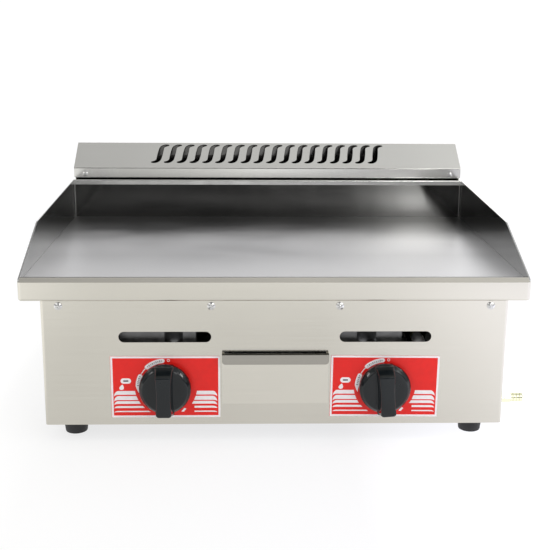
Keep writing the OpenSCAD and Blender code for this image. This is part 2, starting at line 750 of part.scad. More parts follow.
// A knob: a bevelled disc and a grip bar across it that narrows towards its front.
module knob(turn) color([0.08, 0.08, 0.09])
    translate([0, panel_back - label_t - knob_gap, knob_z]) rotate([90, -turn, 0]) difference() {
        disc = 9.5;
        union() {
            rotate_extrude() polygon([[0, 0], [knob_r - 0.6, 0], [knob_r, 0.8], [knob_r, 3.2],
                                      [knob_r - 0.8, 5.2], [knob_r - 3.6, disc], [0, disc]]);
            intersection() {
                rotate([90, 0, 90]) linear_extrude(40, center = true)
                    polygon([[-knob_r - 0.4, 1], [knob_r - 0.4, 1], [knob_r - 1.4, disc],
                             [knob_r - 6.7, knob_depth], [-knob_r + 4.7, knob_depth], [-knob_r - 0.4, disc]]);
                rotate([90, 0, 0]) linear_extrude(80, center = true)
                    polygon([[-9.5, 0.5], [9.5, 0.5], [7.7, knob_depth + 1], [-7.7, knob_depth + 1]]);
            }
        }
        translate([0, 0, -1]) cylinder(r = stem_r + run, h = 1 + knob_depth - 9.8);
    }

module knob_left() at_face() translate([-knob_x, 0, 0]) knob(0);
module knob_right() at_face() translate([knob_x, 0, 0]) knob(knob_skew_right);

// ---- drawer ----

// Runners on both sides of the drawer, standing on the base behind the gas pipe.
module drawer_rails() color("darkgray") at_face() for (s = [-1, 1]) side(s) {
    guide_x = half_tray + 0.6;
    top_z = tray_z - clear;
    block([half_tray - 9, panel_y + 1, top_z - sheet], [guide_x + sheet, drawer_l + 2, top_z]);
    block([guide_x, panel_y + 1, top_z - sheet], [guide_x + sheet, drawer_l + 2, top_z + 10]);
    block([guide_x, tap_y + 14, floor_z], [guide_x + sheet, drawer_l + 2, top_z]);
}

module drawer_tray() color("silver") at_face() difference() {
    front = panel_back - clear;
    back = front + drawer_l;
    block([-half_tray, front, tray_z], [half_tray, back, tray_z + tray_h]);
    block([-half_tray + sheet, front + sheet, tray_z + sheet],
          [half_tray - sheet, back - sheet, tray_z + tray_h + 1]);
}

// The drawer's front, with its top folded forward into a finger lip.
module drawer_front() color("gainsboro") at_face() {
    front = panel_back - clear - sheet;
    lip_y = front - lip_d;
    lip_lean = 3;
    corner = 4;
    back = front + sheet;
    across(drawer_w) folded([[back, drawer_z], [back, lip_z], [lip_y + 0.3, lip_z]], sheet, 1.5);
    translate([0, lip_y, lip_z]) rotate([lip_lean, 0, 0]) rotate([90, 0, 180]) linear_extrude(sheet)
        translate([0, -lip_h]) {
            translate([-drawer_w / 2 + corner, 0]) square([drawer_w - 2 * corner, lip_h]);
            translate([-drawer_w / 2, corner]) square([drawer_w, lip_h - corner]);
            for (s = [-1, 1]) translate([s * (drawer_w / 2 - corner), corner]) circle(corner);
        }
}

base_pan();
front_panel();
side_panel_left();
side_panel_right();
rear_panel();
front_rail();
foot_front_left();
foot_front_right();
foot_rear_left();
foot_rear_right();
foot_screws();
griddle_plate();
front_apron();
grease_gutter();
gutter_strip();
drain_spout();
splash_guard_left();
splash_guard_right();
splash_back();
tray_screws();
flue_duct();
flue_cover();
flue_cap_left();
flue_cap_right();
flue_screws();
label_left();
label_right();
heat_baffle_left();
heat_baffle_right();
gas_manifold();
manifold_cap();
manifold_brackets();
hose_barb();
valve_body_left();
valve_body_right();
feed_tube_left();
feed_tube_right();
jet_left();
jet_right();
burner_left();
burner_right();
burner_brackets_left();
burner_brackets_right();
air_shutter_left();
air_shutter_right();
valve_plug_left();
valve_plug_right();
return_spring_left();
return_spring_right();
knob_stem_left();
knob_stem_right();
knob_left();
knob_right();
drawer_rails();
drawer_tray();
drawer_front();
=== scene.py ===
# A countertop gas griddle: materials, printed labels, knobs, springs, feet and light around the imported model.
import json
import math

import bmesh
import bpy
from mathutils import Matrix, Vector


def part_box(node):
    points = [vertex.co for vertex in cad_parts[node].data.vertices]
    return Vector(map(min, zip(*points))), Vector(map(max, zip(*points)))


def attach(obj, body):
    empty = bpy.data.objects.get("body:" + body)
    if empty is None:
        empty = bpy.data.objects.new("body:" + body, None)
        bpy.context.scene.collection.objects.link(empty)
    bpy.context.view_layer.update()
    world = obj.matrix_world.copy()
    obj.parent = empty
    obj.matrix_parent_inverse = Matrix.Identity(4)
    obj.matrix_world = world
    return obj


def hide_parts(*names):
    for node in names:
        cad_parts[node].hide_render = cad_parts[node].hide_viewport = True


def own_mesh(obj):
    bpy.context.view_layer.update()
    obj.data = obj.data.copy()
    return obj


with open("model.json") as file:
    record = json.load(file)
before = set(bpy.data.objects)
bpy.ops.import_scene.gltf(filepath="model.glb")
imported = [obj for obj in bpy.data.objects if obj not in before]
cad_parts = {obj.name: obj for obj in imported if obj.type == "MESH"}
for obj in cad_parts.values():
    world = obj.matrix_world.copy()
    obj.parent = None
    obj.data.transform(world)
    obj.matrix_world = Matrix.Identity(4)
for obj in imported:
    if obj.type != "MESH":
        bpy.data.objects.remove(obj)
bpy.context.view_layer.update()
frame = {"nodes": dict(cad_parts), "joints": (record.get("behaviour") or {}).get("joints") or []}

NODES = frame["nodes"]
JOINTS = {joint["name"]: joint for joint in frame["joints"]}
MM = 0.001
SIDES = {"left": -1, "right": 1}
X, Y, Z = range(3)

# The apron's face, from which depths are measured back, in metres.
FACE_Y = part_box("front_apron")[0].y
# How far each tap's axis is from the middle, and how high, in metres.
TAP_X, _, TAP_Z = JOINTS["knob_turn_right"]["pos_m"]


def extent(node, axis):
    """A CAD node's size along an axis, in millimetres."""
    low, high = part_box(node)
    return (high[axis] - low[axis]) / MM


# ---- shader nodes ----

# The spans of a noise's values that a colour or a roughness runs over.
WIDE = (0.3, 0.7)
MIDDLE = (0.36, 0.64)
NARROW = (0.38, 0.62)


class Nodes:
    """A node tree under construction."""

    def __init__(self, tree):
        self.tree = tree

    def node(self, kind, **inputs):
        made = self.tree.nodes.new(kind)
        for name, value in inputs.items():
            made.inputs[name.replace("_", " ")].default_value = value
        return made

    def link(self, source, target):
        self.tree.links.new(source, target)

    def math(self, operation, a, b):
        made = self.node("ShaderNodeMath")
        made.operation = operation
        for socket, value in zip(made.inputs, (a, b)):
            if isinstance(value, (int, float)):
                socket.default_value = value
            else:
                self.link(value, socket)
        return made.outputs["Value"]

    def balance(self, one, share, two):
        """A share of one and the rest of two."""
        return self.math("ADD", self.math("MULTIPLY", one, share), self.math("MULTIPLY", two, 1.0 - share))

    def ranged(self, source, low, high, at=WIDE, smooth=False):
        """source, remapped from the span at to the span low to high."""
        made = self.node("ShaderNodeMapRange", From_Min=at[0], From_Max=at[1], To_Min=low, To_Max=high)
        if smooth:
            made.interpolation_type = "SMOOTHSTEP"
        self.link(source, made.inputs["Value"])
        return made.outputs["Result"]

    def ramp(self, source, stops):
        """A colour looked up at source, from stops of (position, colour)."""
        made = self.node("ShaderNodeValToRGB")
        while len(made.color_ramp.elements) < len(stops):
            made.color_ramp.elements.new(0.5)
        for element, (position, colour) in zip(made.color_ramp.elements, stops):
            element.position = position
            element.color = (*colour, 1.0)
        self.link(source, made.inputs["Fac"])
        return made.outputs["Color"]

    def tint(self, source, low, high, at=WIDE):
        """A colour that runs from low to high as source runs over the span at."""
        return self.ramp(source, [(at[0], low), (at[1], high)])

    def mix(self, share, one, two, blend="MIX"):
        """Colour one with a share of colour two blended over it; each may be a socket or a plain value."""
        made = self.node("ShaderNodeMix")
        made.data_type = "RGBA"
        made.blend_type = blend
        for socket, value in zip((made.inputs[i] for i in (0, 6, 7)), (share, one, two)):
            if isinstance(value, bpy.types.NodeSocket):
                self.link(value, socket)
            else:
                socket.default_value = (*value, 1.0) if isinstance(value, tuple) else value
        return made.outputs[2]

    def multiply(self, colour, value):
        return self.mix(1.0, colour, value, "MULTIPLY")

    def split(self, vector):
        made = self.node("ShaderNodeSeparateXYZ")
        self.link(vector, made.inputs["Vector"])
        return made.outputs["X"], made.outputs["Y"], made.outputs["Z"]


def scaled(colour, factor):
    return tuple(min(1.0, c * factor) for c in colour)


def grey(level):
    return (level, level, level)


class Shader(Nodes):
    """A material under construction: one Principled shader and the nodes that feed it."""

    def __init__(self, name, colour, roughness, metallic=0.0):
        self.material = bpy.data.materials.new(name)
        self.material.use_nodes = True
        super().__init__(self.material.node_tree)
        self.surface = self.tree.nodes["Principled BSDF"]
        self.set("Base Color", (*colour, 1.0))
        self.set("Roughness", roughness)
        self.set("Metallic", metallic)
        coordinates = self.node("ShaderNodeTexCoord")
        self.place = coordinates.outputs["Object"]
        self.facing = coordinates.outputs["Normal"]

    def set(self, name, value):
        self.surface.inputs[name].default_value = value

    def noise(self, scale, detail=3.0, rough=0.55, distortion=0.0):
        """Noise over the object's own coordinates, in metres, stretched axis by axis."""
        mapping = self.node("ShaderNodeMapping", Scale=scale)
        self.link(self.place, mapping.inputs["Vector"])
        made = self.node("ShaderNodeTexNoise",
                         Scale=1.0, Detail=detail, Roughness=rough, Distortion=distortion)
        self.link(mapping.outputs["Vector"], made.inputs["Vector"])
        return made.outputs["Fac"]

    def even_noise(self, scale, detail):
        return self.noise((scale, scale, scale), detail)

    def varied(self, source, colour, contrast, at=NARROW):
        """colour, darker and lighter by the contrast as source runs over the span at."""
        return self.tint(source, scaled(colour, 1.0 - contrast), scaled(colour, 1.0 + contrast), at)

    def colour_from(self, source):
        self.link(source, self.surface.inputs["Base Color"])

    def roughness_from(self, source):
        self.link(source, self.surface.inputs["Roughness"])

    def roughness_over(self, source, roughness, low, high, at=WIDE):
        """Roughness from low to high times its own value, as source runs over the span at."""
        self.roughness_from(self.ranged(source, roughness * low, roughness * high, at))

    def bump(self, source, strength, distance=0.1 * MM):
        made = self.node("ShaderNodeBump", Strength=strength, Distance=distance)
        self.link(source, made.inputs["Height"])
        self.link(made.outputs["Normal"], self.surface.inputs["Normal"])


# ---- materials ----

# Scales of the brushed grain, across it and along it, of the clouds over it, and of smears on bright steel.
FINE = 2300.0
LONG = 9.0
CLOUD = 9.0
GRAIN = {"x": (LONG, FINE, FINE), "y": (FINE, LONG, FINE)}
GRAIN_BUMP = 0.03
SMEAR = (26.0, 26.0, 9.0)


def brushed_shader(name, colour, roughness, grain_axis="x", contrast=0.03):
    """Brushed stainless steel whose grain runs along one axis, with soft cloudy wear, kept as its shade."""
    made = Shader(name, colour, roughness, metallic=1.0)
    grain = made.noise(GRAIN[grain_axis], detail=4.0, rough=0.6)
    cloud = made.even_noise(CLOUD, detail=3.0)
    level = made.balance(grain, 0.6, cloud)
    made.shade = made.varied(level, colour, contrast)
    made.colour_from(made.shade)
    made.roughness_over(level, roughness, 0.85, 1.18, MIDDLE)
    made.bump(grain, GRAIN_BUMP)
    made.set("Anisotropic", 0.4)
    made.set("Anisotropic Rotation", 0.25)
    tangent = made.node("ShaderNodeTangent")
    tangent.direction_type = "RADIAL"
    tangent.axis = "Z"
    made.link(tangent.outputs["Tangent"], made.surface.inputs["Tangent"])
    return made


def brushed(*args):
    return brushed_shader(*args).material


def lipped(name, colour, roughness, lip_y, lip_shade):
    """The drawer front's steel, with painted shade that darkens the lip standing in front of lip_y."""
    made = brushed_shader(name, colour, roughness)
    depth = made.split(made.place)[Y]
    level = made.ranged(depth, lip_shade, 1.0, at=(lip_y, lip_y + 0.6 * MM))
    made.colour_from(made.multiply(made.shade, level))
    return made.material


def inward_shaded(name, colour, roughness, node, level):
    """The flue's steel: brushed outside, and darkened with painted shade on the faces that look into the flue.
    """
    # The weights of the ends and the long faces, next to 1 for the top, in a sum that tells which way is out.
    end_weight, long_weight = 4.0, 20.0
    made = brushed_shader(name, colour, roughness, contrast=0.02)
    low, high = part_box(node)
    across, depth, _ = made.split(made.place)
    from_middle = made.math("SUBTRACT", depth, 0.5 * (low.y + high.y))
    face_x, face_y, face_z = made.split(made.facing)
    sideways = made.math("MULTIPLY", made.math("MULTIPLY", across, face_x), end_weight)
    lengthways = made.math("MULTIPLY", made.math("MULTIPLY", from_middle, face_y), long_weight)
    outward = made.math("ADD", made.math("ADD", sideways, lengthways), face_z)
    # Faces that look into the flue are multiplied down to level: painted shade.
    made.colour_from(made.multiply(made.shade, made.ranged(outward, level, 1.0, at=(-0.1, 0.05))))
    return made.material


def polished(name, colour, roughness):
    """Bright-rolled steel that mirrors the plate, with faint smears of grease."""
    made = Shader(name, colour, roughness, metallic=1.0)
    smear = made.noise(SMEAR, detail=4.0, distortion=0.6)
    film = made.even_noise(6.0, detail=2.0)
    level = made.balance(smear, 0.5, film)
    made.colour_from(made.varied(level, colour, 0.03))
    made.roughness_over(level, roughness, 0.7, 1.6, MIDDLE)
    return made.material


def hemmed(name, colour, roughness, node, hem_h, level):
    """The rear wall: a mirror darkened below with painted shade, and the bright, duller hem that is folded down
    over its top.
    """
    made = Shader(name, colour, roughness, metallic=1.0)
    smear = made.noise(SMEAR, detail=4.0, distortion=0.6)
    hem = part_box(node)[1].z - hem_h
    edge = (hem, hem + 0.5 * MM)
    height = made.split(made.place)[Z]
    # Below the hem the colour is multiplied down to level: painted shade on the wall.
    made.colour_from(made.multiply(made.varied(smear, colour, 0.03), made.ranged(height, level, 1.0, edge)))
    film = made.ranged(smear, roughness * 0.7, roughness * 1.6, MIDDLE)
    made.roughness_from(made.math("ADD", film, made.ranged(height, 0.0, 0.14, edge)))
    return made.material


# The cooking plate's painted light and shade from its front edge to its rear edge, darkest by the rear wall, as
# (share of the way, level).
PLATE_PAINTED_SHADE = [(0.0, 0.66), (0.3, 0.70), (0.52, 1.0), (0.65, 0.95), (0.9, 0.33)]


def ground_plate(name):
    """The cooking plate: ground steel with fine marks along it and heat bloom, with painted light and shade
    from front to rear, darkest at its rear.
    """
    made = Shader(name, (0.62, 0.62, 0.63), 0.36, metallic=1.0)
    grain = made.noise((6.0, 1500.0, 6.0), detail=4.0, rough=0.6)
    bloom = made.noise((5.0, 7.0, 5.0), detail=2.0, distortion=0.4)
    level = made.balance(grain, 0.35, bloom)
    bright = made.tint(level, (0.65, 0.65, 0.665), (0.72, 0.715, 0.725), MIDDLE)
    low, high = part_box("griddle_plate")
    depth = made.ranged(made.split(made.place)[Y], 0.0, 1.0, at=(low.y, high.y))
    # Painted light and shade over the plate's depth: brightest mid-plate, darkened at the rear by the wall.
    wear_and_shade = made.ramp(depth, [(at, grey(share)) for at, share in PLATE_PAINTED_SHADE])
    made.colour_from(made.multiply(bright, wear_and_shade))
    made.roughness_from(made.ranged(level, 0.30, 0.42, MIDDLE))
    made.bump(grain, GRAIN_BUMP)
    return made.material


def moulded(name, colour, roughness):
    """Moulded plastic with a faint orange-peel surface and handling marks."""
    made = Shader(name, colour, roughness)
    peel = made.even_noise(700.0, detail=2.0)
    handling = made.even_noise(60.0, detail=4.0)
    made.colour_from(made.tint(handling, scaled(colour, 0.8), scaled(colour, 1.3)))
    made.roughness_over(handling, roughness, 0.75, 1.4)
    made.bump(peel, 0.04)
    made.set("Specular IOR Level", 0.36)
    return made.material


def rubber(name):
    """Dark rubber with a fine grain and a little dust."""
    made = Shader(name, (0.008, 0.008, 0.009), 0.55)
    grain = made.even_noise(1500.0, detail=3.0)
    dust = made.noise((90.0, 90.0, 60.0), detail=4.0)
    made.colour_from(made.tint(dust, (0.005, 0.005, 0.006), (0.015, 0.015, 0.016)))
    made.bump(grain, 0.2, 0.2 * MM)
    return made.material


def ink(name, colour):
    """Screen-printed ink under a thin clear film."""
    roughness = 0.34
    made = Shader(name, colour, roughness)
    mottle = made.even_noise(160.0, detail=4.0)
    made.colour_from(made.tint(mottle, scaled(colour, 0.95), scaled(colour, 1.03)))
    made.roughness_over(mottle, roughness, 0.85, 1.2)
    made.set("Specular IOR Level", 0.3)
    return made.material


def turned(name, colour, roughness, metallic=1.0, wear_and_shade=0.12):
    """Turned or cast metal, with fine rings from the tool and uneven tarnish."""
    made = Shader(name, colour, roughness, metallic=metallic)
    tarnish = made.even_noise(120.0, detail=5.0)
    rings = made.noise((1800.0, 40.0, 40.0), detail=2.0)
    made.colour_from(made.varied(tarnish, colour, wear_and_shade, WIDE))
    made.roughness_over(tarnish, roughness, 0.75, 1.35)
    made.bump(rings, 0.08)
    return made.material


STEEL = (0.565, 0.545, 0.487)
DULL_STEEL = (0.55, 0.54, 0.505)
MATERIALS = {
    "front": brushed("front_steel", STEEL, 0.17, "x"),
    # The drawer's steel is a tenth brighter than the panel's as painted light, and its lip darker as painted
    # shade.
    "drawer": lipped("drawer_steel", scaled(STEEL, 1.1), 0.22, FACE_Y - 2.5 * MM, 0.56),
    "side": brushed("side_steel", STEEL, 0.24, "y"),
    "guard": polished("guard_steel", (0.40, 0.40, 0.396), 0.12),
    "back": hemmed("back_steel", (0.62, 0.62, 0.60), 0.08, "splash_back", 7.0 * MM, 0.27),
    "flue": inward_shaded("flue_steel", (0.66, 0.655, 0.625), 0.18, "flue_cover", 0.16),
    "duct": inward_shaded("duct_steel", DULL_STEEL, 0.24, "flue_duct", 0.12),
    "rear": brushed("rear_steel", DULL_STEEL, 0.26, "x"),
    # Near-black steel for the grease gutter and its strip, much darker than the other steel.
    "near_black": turned("near_black_steel", (0.07, 0.07, 0.072), 0.6, wear_and_shade=0.3),
    "inner": turned("inner_steel", (0.20, 0.20, 0.20), 0.45),
    "plate": ground_plate("plate_steel"),
    "screw": turned("screw_zinc", (0.60, 0.60, 0.59), 0.22, wear_and_shade=0.05),
    "spring": turned("spring_wire", (0.55, 0.55, 0.56), 0.24, wear_and_shade=0.08),
    # Brighter than the flue's steel: a painted highlight along the hem.
    "edge": turned("edge_highlight_steel", (0.88, 0.88, 0.86), 0.14, wear_and_shade=0.03),
    "rubber": rubber("foot_rubber"),
    "red": ink("label_red_ink", (0.80, 0.016, 0.012)),
    "white": ink("label_white_ink", (0.90, 0.855, 0.875)),
    "mark": ink("label_dark_ink", (0.05, 0.05, 0.06)),
    "knob": moulded("knob_black_plastic", (0.006, 0.0085, 0.010), 0.12),
    "brass": turned("brass_metal", (0.80, 0.80, 0.58), 0.25, wear_and_shade=0.06),
    "aluminium": turned("bright_tube", (0.93, 0.93, 0.93), 0.4, metallic=0.2, wear_and_shade=0.05),
    "burner": turned("burner_metal", (0.16, 0.155, 0.15), 0.6, wear_and_shade=0.35),
    "pipe": turned("pipe_metal", (0.33, 0.33, 0.32), 0.5),
}


def both(*stems):
    """The left and right node of each stem."""
    return [stem + "_" + side for stem in stems for side in SIDES]


FINISH = {
    "front": ["front_panel", "front_apron"],
    "drawer": ["drawer_front"],
    "side": both("side_panel"),
    "guard": both("splash_guard"),
    "back": ["splash_back"],
    "flue": ["flue_cover"] + both("flue_cap"),
    "rear": ["rear_panel"],
    "duct": ["flue_duct"],
    "near_black": ["grease_gutter", "gutter_strip"],
    "inner": ["base_pan", "front_rail", "drain_spout", "manifold_brackets", "drawer_rails", "drawer_tray"]
             + both("heat_baffle", "burner_brackets", "air_shutter"),
    "plate": ["griddle_plate"],
    "screw": ["tray_screws", "flue_screws", "foot_screws"] + both("knob_stem"),
    "spring": both("return_spring"),
    "rubber": both("foot_front", "foot_rear"),
    "red": both("label"),
    "knob": both("knob"),
    "brass": ["hose_barb"] + both("jet", "valve_body", "valve_plug"),
    "aluminium": both("feed_tube"),
    "burner": both("burner"),
    "pipe": ["gas_manifold", "manifold_cap"],
}


def finish_cad_nodes():
    """Every node that stays gets its material."""
    for material, nodes in FINISH.items():
        for node in nodes:
            slots = NODES[node].data.materials
            slots.clear()
            slots.append(MATERIALS[material])


# ---- pieces ----

def new_piece(name, form, place, material, body, sharp=32.0):
    """A piece from a bmesh in millimetres: put in place, shaded smooth up to an angle, riding a body."""
    bmesh.ops.remove_doubles(form, verts=form.verts, dist=0.0005)
    bmesh.ops.recalc_face_normals(form, faces=form.faces)
    form.transform(place @ Matrix.Scale(MM, 4))
    mesh = bpy.data.meshes.new(name)
    form.to_mesh(mesh)
    form.free()
    mesh.shade_smooth()
    mesh.set_sharp_from_angle(angle=math.radians(sharp))
    mesh.materials.append(MATERIALS[material])
    piece = bpy.data.objects.new(name, mesh)
    bpy.context.scene.collection.objects.link(piece)
    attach(piece, body)
    return piece


def bridge(form, loops, cap=True):
    """Skins a row of closed loops of points, and caps both ends."""
    rings = [[form.verts.new(p) for p in loop] for loop in loops]
    for one, two in zip(rings, rings[1:]):
        for i in range(len(one)):
            j = (i + 1) % len(one)
            form.faces.new((one[i], one[j], two[j], two[i]))
    if cap:
        form.faces.new(rings[0][::-1])
        form.faces.new(rings[-1])


def full_turn(count):
    """Angles that divide a full turn into count parts."""
    return [2.0 * math.pi * i / count for i in range(count)]


def quarter_turn(count):
    """Angles from nothing to a quarter turn, in count steps."""
    return [math.radians(90.0 * i / count) for i in range(count + 1)]


def circle(radius, height, count):
    return [(radius * math.cos(a), radius * math.sin(a), height) for a in full_turn(count)]


def lathe(profile, count):
    """A turned solid from (radius, height) pairs, closed at both ends."""
    form = bmesh.new()
    bridge(form, [circle(r, h, count) for r, h in profile])
    return form


def solid(form):
    """A bmesh as a scratch object, for a boolean."""
    bmesh.ops.recalc_face_normals(form, faces=form.faces)
    mesh = bpy.data.meshes.new("scratch")
    form.to_mesh(mesh)
    form.free()
    made = bpy.data.objects.new("scratch", mesh)
    bpy.context.scene.collection.objects.link(made)
    return made


def combined(first, *steps):
    """first, with each (operation, bmesh) of steps applied to it in turn."""
    base = solid(first)
    tools = []
    for operation, form in steps:
        tool = solid(form)
        tools.append(tool)
        cut = base.modifiers.new("cut", "BOOLEAN")
        cut.operation = operation
        cut.solver = "EXACT"
        cut.object = tool
    bpy.context.view_layer.update()
    done = bmesh.new()
    done.from_mesh(base.evaluated_get(bpy.context.evaluated_depsgraph_get()).to_mesh())
    for scratch in [base] + tools:
        mesh = scratch.data
        bpy.data.objects.remove(scratch)
        bpy.data.meshes.remove(mesh)
    return done


def value_at(stops, at):
    """The value at a place between stops of (place, value)."""
    for (a, value_a), (b, value_b) in zip(stops, stops[1:]):
        if at <= b:
            return value_a + (value_b - value_a) * (at - a) / (b - a)
    return stops[-1][1]


def on_tap(side, y, turn):
    """The placing of a shape drawn around a tap's axis: facing forward at y, turned clockwise by degrees."""
    return (Matrix.Translation((SIDES[side] * TAP_X, y, TAP_Z))
            @ Matrix.Rotation(math.radians(turn), 4, "Y") @ Matrix.Rotation(math.radians(90.0), 4, "X"))

# ---- knobs ----

# In millimetres: the knob's radius and depth, its disc's depth, the stem's radius, and the wall between the
# stem's seat and the grip's face.
KNOB_R = 0.5 * extent("knob_left", X)
KNOB_DEPTH = extent("knob_left", Y)
KNOB_DISC = 9.5
STEM_R = 4.05
SEAT_WALL = 8.8
# How far each knob is turned clockwise from its off mark, in degrees.
KNOB_TURN = {"left": 0.0, "right": -4.0}

# The grip bar's reach below and above the axis, half its width at its ends, and how far its waist draws in,
# as (height above the knob's back, value).
GRIP_BELOW = [(0.0, KNOB_R + 0.4), (KNOB_DISC, KNOB_R + 0.4), (KNOB_DEPTH, KNOB_R - 4.7)]
GRIP_ABOVE = [(0.0, KNOB_R - 0.4), (KNOB_DISC, KNOB_R - 1.4), (KNOB_DEPTH, KNOB_R - 6.7)]
GRIP_END = [(0.0, 9.9), (KNOB_DISC, 9.6), (KNOB_DEPTH, 8.6)]
GRIP_WAIST = [(0.0, 0.4), (KNOB_DISC, 1.3), (KNOB_DEPTH, 1.1)]
GRIP_LOW_R, GRIP_TOP_R = 3.4, 1.3

# The grip bar's levels, as (height, inset, flare): flared where it meets the disc, rounded over at its face.
GRIP_LEVELS = [
    (1.0, 0.0, 0.0), (KNOB_DISC - 1.5, 0.0, 1.1), (KNOB_DISC - 0.3, 0.0, 1.0), (KNOB_DISC + 0.1, 0.0, 0.5),
    (KNOB_DISC + 0.9, 0.0, 0.1), (KNOB_DISC + 3.0, 0.0, 0.0), (KNOB_DEPTH - 6.0, 0.0, 0.0),
    (KNOB_DEPTH - 1.7, 0.0, 0.0), (KNOB_DEPTH - 0.8, 0.15, 0.0), (KNOB_DEPTH - 0.35, 0.5, 0.0),
    (KNOB_DEPTH - 0.15, 1.1, 0.0), (KNOB_DEPTH, 2.6, 0.0),
]

# The disc's bevelled rim, as (radius, height).
DISC_PROFILE = [
    (KNOB_R - 1.4, 0.0), (KNOB_R - 0.6, 0.25), (KNOB_R - 0.1, 0.9), (KNOB_R, 1.6), (KNOB_R, 3.6),
    (KNOB_R - 0.25, 4.6), (KNOB_R - 0.9, 5.6), (KNOB_R - 3.3, KNOB_DISC - 1.0),
    (KNOB_R - 3.9, KNOB_DISC - 0.35), (KNOB_R - 4.8, KNOB_DISC), (KNOB_R - 10.0, KNOB_DISC - 0.3),
]


def grip_outline(height, inset, flare):
    """The grip bar's outline at a height above the knob's back: waisted, with rounder corners below."""
    side_steps, corner_steps = 14, 6
    low = inset - value_at(GRIP_BELOW, height)
    top = value_at(GRIP_ABOVE, height) - inset
    end = value_at(GRIP_END, height) - inset + flare
    waist = value_at(GRIP_WAIST, height)
    low_r, top_r = max(0.4, GRIP_LOW_R - inset), max(0.3, GRIP_TOP_R - inset)
    middle, half = 0.5 * (low + top), 0.5 * (top - low)

    def width(v):
        return end - waist * (1.0 - min(1.0, abs(v - middle) / half) ** 2)

    def side(sign, flip):
        ups = [low + low_r + (top - top_r - low - low_r) * i / side_steps for i in range(side_steps + 1)]
        return [(sign * width(v), v, height) for v in (reversed(ups) if flip else ups)]

    def corner(sign, v_centre, radius, start):
        x_centre = sign * (width(v_centre) - radius)
        return [(x_centre + radius * math.cos(a), v_centre + radius * math.sin(a), height)
                for a in (math.radians(start + 90.0 * i / corner_steps) for i in range(1, corner_steps))]

    return (side(1, False) + corner(1, top - top_r, top_r, 0.0) + [(width(top) - top_r, top, height)]
            + [(top_r - width(top), top, height)] + corner(-1, top - top_r, top_r, 90.0)
            + side(-1, True) + corner(-1, low + low_r, low_r, 180.0)
            + [(low_r - width(low), low, height)] + [(width(low) - low_r, low, height)]
            + corner(1, low + low_r, low_r, 270.0))


def knob_shape():
    """A bevelled disc with a grip bar across it, hollowed for the tap's stem."""
    disc = lathe(DISC_PROFILE, 128)
    grip = bmesh.new()
    bridge(grip, [grip_outline(*level) for level in GRIP_LEVELS])
    seat = lathe([(STEM_R, -1.0), (STEM_R, KNOB_DEPTH - SEAT_WALL)], 48)
    return combined(disc, ("UNION", grip), ("DIFFERENCE", seat))


def make_knobs():
    for side in SIDES:
        node = "knob_" + side
        place = on_tap(side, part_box(node)[1].y, KNOB_TURN[side])
        piece = new_piece("knob_cap_" + side, knob_shape(), place, "knob", node)
        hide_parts(node)


# ---- return springs ----

# Half the wire's thickness, in millimetres, and the turns of each spring.
WIRE_R = 0.4
SPRING_TURNS = 4.0


def coil_loops(radius, height):
    """The rings of points along a coil of wire that stands on its end."""
    rings, sides = 128, 12
    loops = []
    for i in range(rings + 1):
        turn = 2.0 * math.pi * SPRING_TURNS * i / rings
        level = WIRE_R + (height - 2.0 * WIRE_R) * i / rings
        ring = []
        for a in full_turn(sides):
            reach = radius + WIRE_R * math.cos(a)
            ring.append((reach * math.cos(turn), reach * math.sin(turn), level + WIRE_R * math.sin(a)))
        loops.append(ring)
    return loops


def make_springs():
    """Each tap's return spring as a fixed coil riding the tap; the knob's stem shortens the real spring by the
    travel of the press, which the coil does not follow.
    """
    for side in SIDES:
        node = "return_spring_" + side
        low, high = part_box(node)
        middle = 0.5 * (low + high)
        length = high.y - low.y
        form = bmesh.new()
        bridge(form, coil_loops(0.5 * extent(node, X) - WIRE_R, length / MM))
        place = Matrix.Translation((middle.x, low.y, middle.z)) @ Matrix.Rotation(math.radians(-90.0), 4, "X")
        piece = new_piece("spring_coil_" + side, form, place, "spring", "tap_" + side,
                          sharp=60.0)
        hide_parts(node)
        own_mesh(piece)


# ---- feet ----

# The screw's hole, and the seat that its head stands in, from below: radii and the seat's depth.
SCREW_R = 2.8
SEAT_R, SEAT_H = 6.0, 9.0


def make_feet():
    """Each foot: a tapered rubber moulding with rounded rims and a deep seat for its screw."""
    for node in FINISH["rubber"]:
        low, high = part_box(node)
        top_r, tall = 0.5 * extent(node, X), extent(node, Z)
        outer = [(top_r - 3.0, 0.0), (top_r - 2.4, 0.35), (top_r - 2.0, 1.2), (top_r - 0.25, tall - 3.0),
                 (top_r, tall - 1.4), (top_r - 0.1, tall - 0.6), (top_r - 0.6, tall)]
        inner = [(SCREW_R, tall), (SCREW_R, SEAT_H), (SEAT_R, SEAT_H), (SEAT_R, 0.6), (SEAT_R + 0.7, 0.0)]
        loop = outer + inner
        form = bmesh.new()
        bridge(form, [circle(r, h, 64) for r, h in loop + loop[:1]], cap=False)
        place = Matrix.Translation((0.5 * (low.x + high.x), 0.5 * (low.y + high.y), low.z))
        name = node.replace("foot", "foot_pad")
        piece = new_piece(name, form, place, "rubber", "root", sharp=40.0)
        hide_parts(node)


# ---- the flue's hem ----

def make_hem():
    """The rounded hem along the lower edge of the flue's front band, in brighter steel than the band as a
    painted highlight.
    """
    radius, drop, inside = 0.5, 0.2, 0.05
    low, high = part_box("flue_cover")
    half = 0.5 * extent("flue_cover", X)
    form = bmesh.new()
    bridge(form, [[(x, radius * math.cos(a), radius * math.sin(a)) for a in full_turn(16)]
                  for x in (-half, half)])
    place = Matrix.Translation((0.5 * (low.x + high.x), low.y + (radius + inside) * MM, low.z - drop * MM))
    new_piece("flue_hem", form, place, "edge", "root", sharp=40.0)


# ---- printed labels ----

# In millimetres from the tap's axis: half the print's size, its middle, its border, the dial track's radius,
# half the height of the track's pills, and the thickness of a film of ink.
PRINT_HALF = (59.5, 35.25)
PRINT_CENTRE = (0.3, -0.15)
BORDER = 2.1
TRACK_R = 30.0
PILL_H = 2.5
FILM = 0.05

